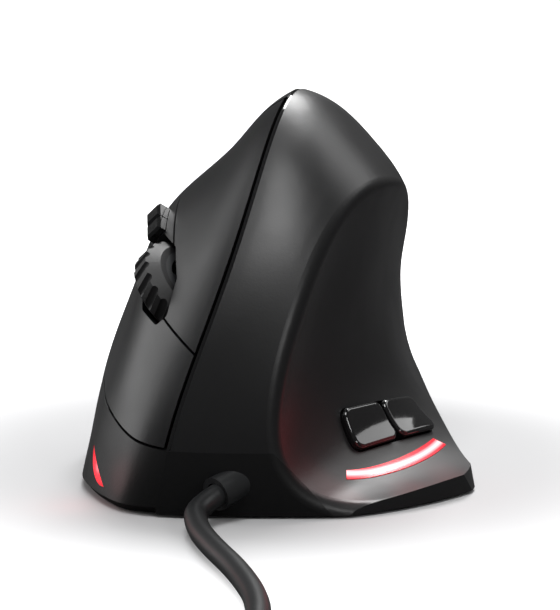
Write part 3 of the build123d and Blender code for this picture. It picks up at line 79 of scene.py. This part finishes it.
# %% Cord route and coil
CORD_RADIUS = 2.2
CORD_EXIT = (-5.07, -48.94, 7.48)
CORD_ROUTE = [
    CORD_EXIT,
    (-15.39, -59.64, 4.32),
    (-14.9, -68.5, 2.6),
    (-12.3, -80.0, 2.25),
    (-6.4, -100.0, 2.25),
    (-2.5, -122.0, 2.25),
    (-4.0, -148.0, 2.25),
    (-13.5, -178.0, 2.25),
    (-26.0, -210.0, 2.25),
    (-29.5, -241.0, 2.25),
    (-29.5, -261.6, 2.25),
]
TAIL_ROUTE = [
    (29.5, -261.6, 16.95),
    (29.5, -251.0, 16.95),
    (30.5, -214.0, 4.1),
    (31.5, -198.0, 4.1),
]
COIL_CENTRE = (0.0, -266.0)
COIL_INNER_RADIUS = 14.8
COIL_PITCH = 4.9
COIL_RINGS = 3
COIL_LAYERS = 4
HALF_TURNS = 5
COIL_FLOOR = 2.25
POINTS_PER_HALF_TURN = 8


def half_turn(left, right, side, low, high):
    """Control points of a half circle between two X places.

    Side -1 runs from the left in front of the coil's centre, side 1 from the right behind it.
    """
    middle = (left + right) / 2
    radius = (right - left) / 2 / math.cos(math.pi / POINTS_PER_HALF_TURN / 2)
    points = []
    for step in range(POINTS_PER_HALF_TURN):
        share = (step + 0.5) / POINTS_PER_HALF_TURN
        turned = math.pi * share
        across = middle + side * math.cos(turned) * radius
        along = side * math.sin(turned) * radius
        points.append((COIL_CENTRE[0] + across, COIL_CENTRE[1] + along, low + (high - low) * share))
    return points


coil_points = []
radius = COIL_INNER_RADIUS + COIL_RINGS * COIL_PITCH
height = COIL_FLOOR
for layer in range(COIL_LAYERS):
    step = COIL_PITCH if layer % 2 else -COIL_PITCH
    for turn in range(HALF_TURNS):
        if turn % 2:
            coil_points += half_turn(-radius, radius, 1, height, height)
        else:
            coil_points += half_turn(-radius, radius + step, -1, height, height)
            radius += step
    if layer < COIL_LAYERS - 1:
        coil_points += half_turn(-radius, radius, 1, height, height + COIL_PITCH)
        height += COIL_PITCH

cord_points = CORD_ROUTE + coil_points + TAIL_ROUTE
print("cord control points:", len(cord_points))

# %% The cord as a curve
BEVEL_RESOLUTION = 5
CURVE_RESOLUTION = 6
cord_data = bpy.data.curves.new("mouse_cord", "CURVE")
cord_data.dimensions = "3D"
cord_data.bevel_depth = 1.0
cord_data.bevel_resolution = BEVEL_RESOLUTION
cord_data.resolution_u = CURVE_RESOLUTION
cord_data.use_fill_caps = True
spline = cord_data.splines.new("NURBS")
spline.points.add(len(cord_points) - 1)
for place, point in zip(spline.points, cord_points):
    place.co = (*(value * MM for value in point), 1)
    place.radius = CORD_RADIUS * MM
spline.order_u = 3
spline.use_endpoint_u = True
cord = bpy.data.objects.new("mouse_cord", cord_data)
bpy.context.collection.objects.link(cord)
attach(cord, "case")
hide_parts("cord", "cord_coil", "cord_tail")

# %% [markdown]
# ## Helpers for finishes
# Colours are written as the sRGB values a designer would pick and turned to linear once.
# One helper adds a shader node with its settings and its links.

# %% Colour and node helpers
DRIFT = 14.0
DRIFT_DETAIL = 2.0
GRAIN_DETAIL = 3.0
NOISE_LOW, NOISE_HIGH = 0.3, 0.7
ROUGHNESS_DRIFT = 0.03


def linear(hex_colour):
    """An sRGB hex colour as linear RGBA."""
    shares = [int(hex_colour[place:place + 2], 16) / 255 for place in (1, 3, 5)]
    return [s / 12.92 if s <= 0.04045 else ((s + 0.055) / 1.055) ** 2.4 for s in shares] + [1]


def add_node(tree, kind, inputs=None, **settings):
    """One shader node with its settings; an input is a value or the socket that feeds it."""
    made = tree.nodes.new(kind)
    for name, value in settings.items():
        setattr(made, name, value)
    for name, value in (inputs or {}).items():
        if isinstance(value, bpy.types.NodeSocket):
            tree.links.new(value, made.inputs[name])
        else:
            made.inputs[name].default_value = value
    return made


def new_material(name):
    """An empty node material with its output, its tree and the Object coordinates."""
    material = bpy.data.materials.new(name)
    material.use_nodes = True
    material.node_tree.nodes.clear()
    tree = material.node_tree
    output = add_node(tree, "ShaderNodeOutputMaterial")
    place = add_node(tree, "ShaderNodeTexCoord").outputs["Object"]
    return material, tree, output, place


def moulded(name, colour, worn, roughness, grain, depth, **shader):
    """A moulded or coated surface: a fine grain in the bump, a slow drift in colour and roughness.

    Grain, the width of one grain, and depth, its height, are in mm.
    """
    material, tree, output, place = new_material(name)
    grit = add_node(tree, "ShaderNodeTexNoise", {"Vector": place, "Scale": 1 / (grain * MM),
                                                 "Detail": GRAIN_DETAIL})
    drift = add_node(tree, "ShaderNodeTexNoise", {"Vector": place, "Scale": 1 / (DRIFT * MM),
                                                  "Detail": DRIFT_DETAIL})
    tint = add_node(tree, "ShaderNodeMix",
                    {0: drift.outputs["Fac"], 6: linear(colour), 7: linear(worn)}, data_type="RGBA")
    gloss = add_node(tree, "ShaderNodeMapRange",
                     {"Value": drift.outputs["Fac"], "From Min": NOISE_LOW, "From Max": NOISE_HIGH,
                      "To Min": roughness - ROUGHNESS_DRIFT, "To Max": roughness + ROUGHNESS_DRIFT})
    bump = add_node(tree, "ShaderNodeBump", {"Height": grit.outputs["Fac"], "Strength": 1.0,
                                             "Distance": depth * MM})
    surface = add_node(tree, "ShaderNodeBsdfPrincipled",
                       {"Base Color": tint.outputs[2], "Normal": bump.outputs["Normal"],
                        "Roughness": gloss.outputs["Result"], **shader})
    tree.links.new(surface.outputs["BSDF"], output.inputs["Surface"])
    return material


def dress(material, *names):
    """Gives CAD nodes their finish."""
    for name in names:
        mesh = nodes[name].data
        mesh.materials.clear()
        mesh.materials.append(material)


# %% [markdown]
# ## Soft-touch panels
# The palm cover, the finger buttons and the thumb shell are ABS sprayed with a soft-touch coat:
# almost black, matte, with a powdery grain that spreads each highlight wide. The grit of such a
# coat is about 0.1 mm; it is drawn at 0.45 mm so that it shows. The skirt below them is bare ABS
# from a spark-eroded mould, and darker still: partly its own colour, partly painted shade for the
# lower front, which lies in shade.

# %% Panels and skirt
soft_touch = moulded("soft_touch_coated_abs", "#171718", "#131314", 0.37, 0.45, 0.012, IOR=1.48)
# Painted shade: the skirt's dark colour partly stands in for the shade on the lower front.
skirt_abs_with_painted_shade = moulded("spark_eroded_abs_with_painted_shade", "#0d0d0e", "#0b0b0c", 0.42, 0.6, 0.02, IOR=1.42)
dress(soft_touch, "palm_cover", "index_button", "middle_button", "thumb_shell")
dress(skirt_abs_with_painted_shade, "lower_case", "inner_frame")

# %% [markdown]
# ## Gloss black
# The band on the ridge, the thumb buttons and the DPI keys are polished ABS: black with a clear,
# sharp reflection, and only a faint orange-peel ripple of some 2 mm.

# %% Gloss parts
COAT_WEIGHT = 0.6
COAT_ROUGHNESS = 0.05

piano_black = moulded("polished_black_abs", "#0b0b0c", "#0d0d0e", 0.1, 2.2, 0.004, IOR=1.5)
gloss_shader = piano_black.node_tree.nodes["Principled BSDF"]
gloss_shader.inputs["Coat Weight"].default_value = COAT_WEIGHT
gloss_shader.inputs["Coat Roughness"].default_value = COAT_ROUGHNESS
dress(piano_black, "trim_band", "forward_button", "back_button", "dpi_down_key", "dpi_up_key")

# %% [markdown]
# ## Rubber and the cord's jacket
# The tyre is moulded silicone rubber, dull black with a little dust in its grain. The cord's jacket
# is extruded PVC, smoother, with a soft long highlight.

# %% Rubber and PVC
tyre_rubber = moulded("moulded_silicone_rubber", "#0f0f10", "#131314", 0.5, 0.5, 0.02, IOR=1.43)
cord_pvc = moulded("extruded_pvc", "#202122", "#1b1c1d", 0.38, 1.2, 0.008, IOR=1.52)
dress(tyre_rubber, "wheel_tyre")
dress(cord_pvc, "cord_lead", "grommet", "plug_neck")
cord_data.materials.append(cord_pvc)

# %% [markdown]
# ## Light guides
# Each guide is a bar of clear red polycarbonate over LEDs. Where it is thick, along its middle, so
# much light comes through that it looks pink-white; towards its edges it turns a deep red. The
# thumb guide is an arc, so the distance from the arc's centre tells how far across the bar a point
# lies. The finger guide fades from its middle outwards.

# %% Light guides
ARC_FRONT = Vector((13.4, -43.5))
ARC_BEND = Vector((26.4, -32.25))
ARC_BACK = Vector((33.8, -18.5))
GUIDE_WIDTH = 2.8
SLIVER_CENTRE = (-33.9, -35.8, 6.2)
SLIVER_REACH = (4.5, 9.0, 4.6)
GUIDE_GLOW = 1.7
GUIDE_RED = "#b3101f"
GUIDE_ROUGHNESS = 0.25
POLYCARBONATE_IOR = 1.58
ACROSS_BAR = [(0.0, "#7d0612"), (0.2, "#e01428"), (0.45, "#ffc4c8"), (0.6, "#ffc4c8"),
              (0.85, "#e01428"), (1.0, "#7d0612")]
FROM_CORE = [(0.0, "#ffb0b6"), (0.35, "#f0303c"), (0.7, "#b30d1c"), (1.0, "#5a040c")]


def circle_centre(first, second, third):
    """The centre of the circle through three points of a plane."""
    one, two = second - first, third - first
    cross = 2 * (one.x * two.y - one.y * two.x)
    along = (two.y * one.length_squared - one.y * two.length_squared) / cross
    up = (one.x * two.length_squared - two.x * one.length_squared) / cross
    return first + Vector((along, up))


def lit_guide(name, centre, scale, near, far, stops):
    """A lit bar whose colour follows a point's scaled distance from a centre."""
    material, tree, output, place = new_material(name)
    offset = add_node(tree, "ShaderNodeVectorMath", {0: place, 1: centre}, operation="SUBTRACT")
    scaled = add_node(tree, "ShaderNodeVectorMath", {0: offset.outputs[0], 1: scale},
                      operation="MULTIPLY")
    distance = add_node(tree, "ShaderNodeVectorMath", {0: scaled.outputs[0]}, operation="LENGTH")
    across = add_node(tree, "ShaderNodeMapRange",
                      {"Value": distance.outputs["Value"], "From Min": near, "From Max": far})
    ramp = add_node(tree, "ShaderNodeValToRGB", {"Fac": across.outputs["Result"]})
    while len(ramp.color_ramp.elements) < len(stops):
        ramp.color_ramp.elements.new(0.5)
    for element, (position, colour) in zip(ramp.color_ramp.elements, stops):
        element.position = position
        element.color = linear(colour)
    surface = add_node(tree, "ShaderNodeBsdfPrincipled",
                       {"Base Color": linear(GUIDE_RED), "Roughness": GUIDE_ROUGHNESS,
                        "IOR": POLYCARBONATE_IOR, "Emission Color": ramp.outputs["Color"],
                        "Emission Strength": GUIDE_GLOW})
    tree.links.new(surface.outputs["BSDF"], output.inputs["Surface"])
    return material


arc_centre = circle_centre(ARC_FRONT, ARC_BEND, ARC_BACK)
arc_radius = (ARC_FRONT - arc_centre).length
print("thumb guide arc radius in mm:", round(arc_radius, 1))
thumb_guide = lit_guide("lit_red_polycarbonate_bar", (arc_centre.x * MM, arc_centre.y * MM, 0),
                        (1, 1, 0), (arc_radius - GUIDE_WIDTH) * MM, arc_radius * MM, ACROSS_BAR)
finger_guide = lit_guide("lit_red_polycarbonate_sliver", [value * MM for value in SLIVER_CENTRE],
                         [1 / (value * MM) for value in SLIVER_REACH], 0, 1, FROM_CORE)
dress(thumb_guide, "thumb_light", "thumb_lamp")
dress(finger_guide, "finger_light", "finger_lamp")

# %% [markdown]
# ## Inside and underneath
# Boards are glass epoxy with a green solder mask, switches are dark nylon with pale acetal
# plungers, and screws are zinc-plated steel. The feet are PTFE film, slick and grey.

# %% Inner parts
LENS_TRANSMISSION = 0.85

solder_mask = moulded("green_solder_mask", "#14502c", "#0f4325", 0.3, 0.9, 0.02, IOR=1.55)
nylon = moulded("moulded_dark_nylon", "#1c1d1f", "#242527", 0.5, 0.7, 0.01, IOR=1.53)
acetal = moulded("pale_acetal", "#dcd8cc", "#d0ccbf", 0.35, 0.8, 0.006, IOR=1.48)
zinc_plate = moulded("zinc_plated_steel", "#b9bcc0", "#a7abb0", 0.3, 0.5, 0.008, Metallic=1.0)
nickel_plate = moulded("bright_nickel_plate", "#d2d0ca", "#c8c6c0", 0.14, 1.4, 0.003,
                       Metallic=1.0)
gold_plate = moulded("gold_plated_contact", "#e0b85a", "#d0a648", 0.2, 0.6, 0.003, Metallic=1.0)
ptfe = moulded("skived_ptfe_film", "#3f4143", "#47494b", 0.28, 1.0, 0.01, IOR=1.35)
lens_clear = moulded("clear_polycarbonate", "#e8eef2", "#e2e9ee", 0.06, 2.0, 0.002,
                      IOR=POLYCARBONATE_IOR)
lens_shader = lens_clear.node_tree.nodes["Principled BSDF"]
lens_shader.inputs["Transmission Weight"].default_value = LENS_TRANSMISSION
dress(solder_mask, "finger_board", "thumb_board", "main_board")
dress(nylon, "wheel_hub", "wheel_carrier", "encoder_body", "index_switch", "middle_switch",
      "wheel_switch", "dpi_down_switch", "dpi_up_switch", "forward_switch", "back_switch",
      "sensor_chip", "controller_chip", "plug_body", "plug_tongue")
dress(acetal, "encoder_rotor", "index_plunger", "middle_plunger", "wheel_plunger",
      "dpi_down_plunger", "dpi_up_plunger", "forward_plunger", "back_plunger", "cable_connector")
dress(zinc_plate, "board_screws", "case_screws", "main_screws", "wheel_axle")
dress(nickel_plate, "plug_shell")
dress(gold_plate, "plug_contacts")
dress(ptfe, "slide_feet")
dress(lens_clear, "sensor_lens")

# %% [markdown]
# ## Floor and light
# The mouse stands on pale card. A softbox above the camera draws the highlight high on the front
# face and leaves the lower front dark. One from the left and behind skims the finger panels, one
# from behind throws the mouse's shadow towards the camera, and one from the right and behind picks
# out the hood. A small one low on the right puts the glints on the thumb buttons. Mirrored rays
# meet a dim room and a dim card, as if black flags stood round the set. Away from the mouse the
# card fades to pure white, as a lit paper sweep does. Small red lamps in front of the light guides
# throw their glow on the coat.

# %% Floor
FLOOR_SIZE = 3.0
CARD_GREY = "#b6b6b7"
LIT_FROM, LIT_FULLY = 50.0, 140.0
MIRRORED_CARD = "#2b2b2c"
CARD_ROUGHNESS = 0.8
WHITE = (1, 1, 1, 1)

floor_mesh = bmesh.new()
bmesh.ops.create_grid(floor_mesh, x_segments=1, y_segments=1, size=FLOOR_SIZE)
floor_data = bpy.data.meshes.new("floor")
floor_mesh.to_mesh(floor_data)
floor_mesh.free()
floor = bpy.data.objects.new("floor", floor_data)
bpy.context.collection.objects.link(floor)
card, tree, output, place = new_material("white_card")
seen = add_node(tree, "ShaderNodeLightPath")
reach = add_node(tree, "ShaderNodeVectorMath", {0: place}, operation="LENGTH")
faded = add_node(tree, "ShaderNodeMapRange",
                 {"Value": reach.outputs["Value"], "From Min": LIT_FROM * MM,
                  "From Max": LIT_FULLY * MM}, interpolation_type="SMOOTHSTEP")
lift = add_node(tree, "ShaderNodeMath",
                {0: seen.outputs["Is Camera Ray"], 1: faded.outputs["Result"]},
                operation="MULTIPLY")
shade = add_node(tree, "ShaderNodeMix",
                 {0: seen.outputs["Is Glossy Ray"], 6: linear(CARD_GREY), 7: linear(MIRRORED_CARD)},
                 data_type="RGBA")
paper = add_node(tree, "ShaderNodeBsdfPrincipled",
                 {"Base Color": shade.outputs[2], "Roughness": CARD_ROUGHNESS,
                  "Emission Color": WHITE, "Emission Strength": lift.outputs["Value"]})
tree.links.new(paper.outputs["BSDF"], output.inputs["Surface"])
floor_data.materials.append(card)

# %% World and lamps
WORLD_LEVEL = 0.32
MIRRORED_LEVEL = 0.1
SOFTBOXES = [
    ("key", (-30, -290, 660), (0, -10, 60), 300, 2.7),
    ("left_back", (-560, 190, 210), (0, 0, 60), 420, 1.4),
    ("right_back", (430, 270, 470), (0, 0, 60), 380, 0.9),
    ("top_back", (90, 400, 600), (0, 0, 50), 300, 5.0),
    ("thumb_glint", (190, -420, 230), (25, -30, 15), 90, 0.3),
]

world = bpy.data.worlds.new("room")
bpy.context.scene.world = world
world.use_nodes = True
world.node_tree.nodes.clear()
tree = world.node_tree
seen = add_node(tree, "ShaderNodeLightPath")
direct = add_node(tree, "ShaderNodeMath",
                  {0: seen.outputs["Is Camera Ray"], 1: seen.outputs["Is Transmission Ray"]},
                  operation="MAXIMUM")
room = add_node(tree, "ShaderNodeMapRange",
                {"Value": seen.outputs["Is Glossy Ray"], "To Min": WORLD_LEVEL,
                 "To Max": MIRRORED_LEVEL})
level = add_node(tree, "ShaderNodeMapRange",
                 {"Value": direct.outputs["Value"], "To Min": room.outputs["Result"],
                  "To Max": 1.0})
sky = add_node(tree, "ShaderNodeBackground", {"Color": WHITE, "Strength": level.outputs["Result"]})
add_node(tree, "ShaderNodeOutputWorld", {"Surface": sky.outputs["Background"]})


def add_lamp(name, kind, place, power):
    """A lamp at a place in mm."""
    lamp = bpy.data.objects.new(name, bpy.data.lights.new(name, kind))
    bpy.context.collection.objects.link(lamp)
    lamp.data.energy = power
    lamp.location = Vector(place) * MM
    return lamp


for name, place, aim, size, power in SOFTBOXES:
    lamp = add_lamp(name, "AREA", place, power)
    lamp.data.size = size * MM
    lamp.rotation_euler = (Vector(aim) - Vector(place)).to_track_quat("-Z", "Y").to_euler()

# %% Red spill round the guides
SPILL_RADIUS = 5.0
SPILL_POWER = 0.0005
SPILL_RED = "#ff3040"
SPILL_PLACES = [(15, -46, 9), (27, -37, 10), (35, -26, 12), (-40, -43, 7)]

for number, place in enumerate(SPILL_PLACES):
    lamp = add_lamp("spill_" + str(number), "POINT", place, SPILL_POWER)
    lamp.data.shadow_soft_size = SPILL_RADIUS * MM
    lamp.data.color = linear(SPILL_RED)[:3]
    lamp.visible_camera = False

# %% Colour view
bpy.context.scene.view_settings.view_transform = "Standard"
bpy.context.view_layer.update()
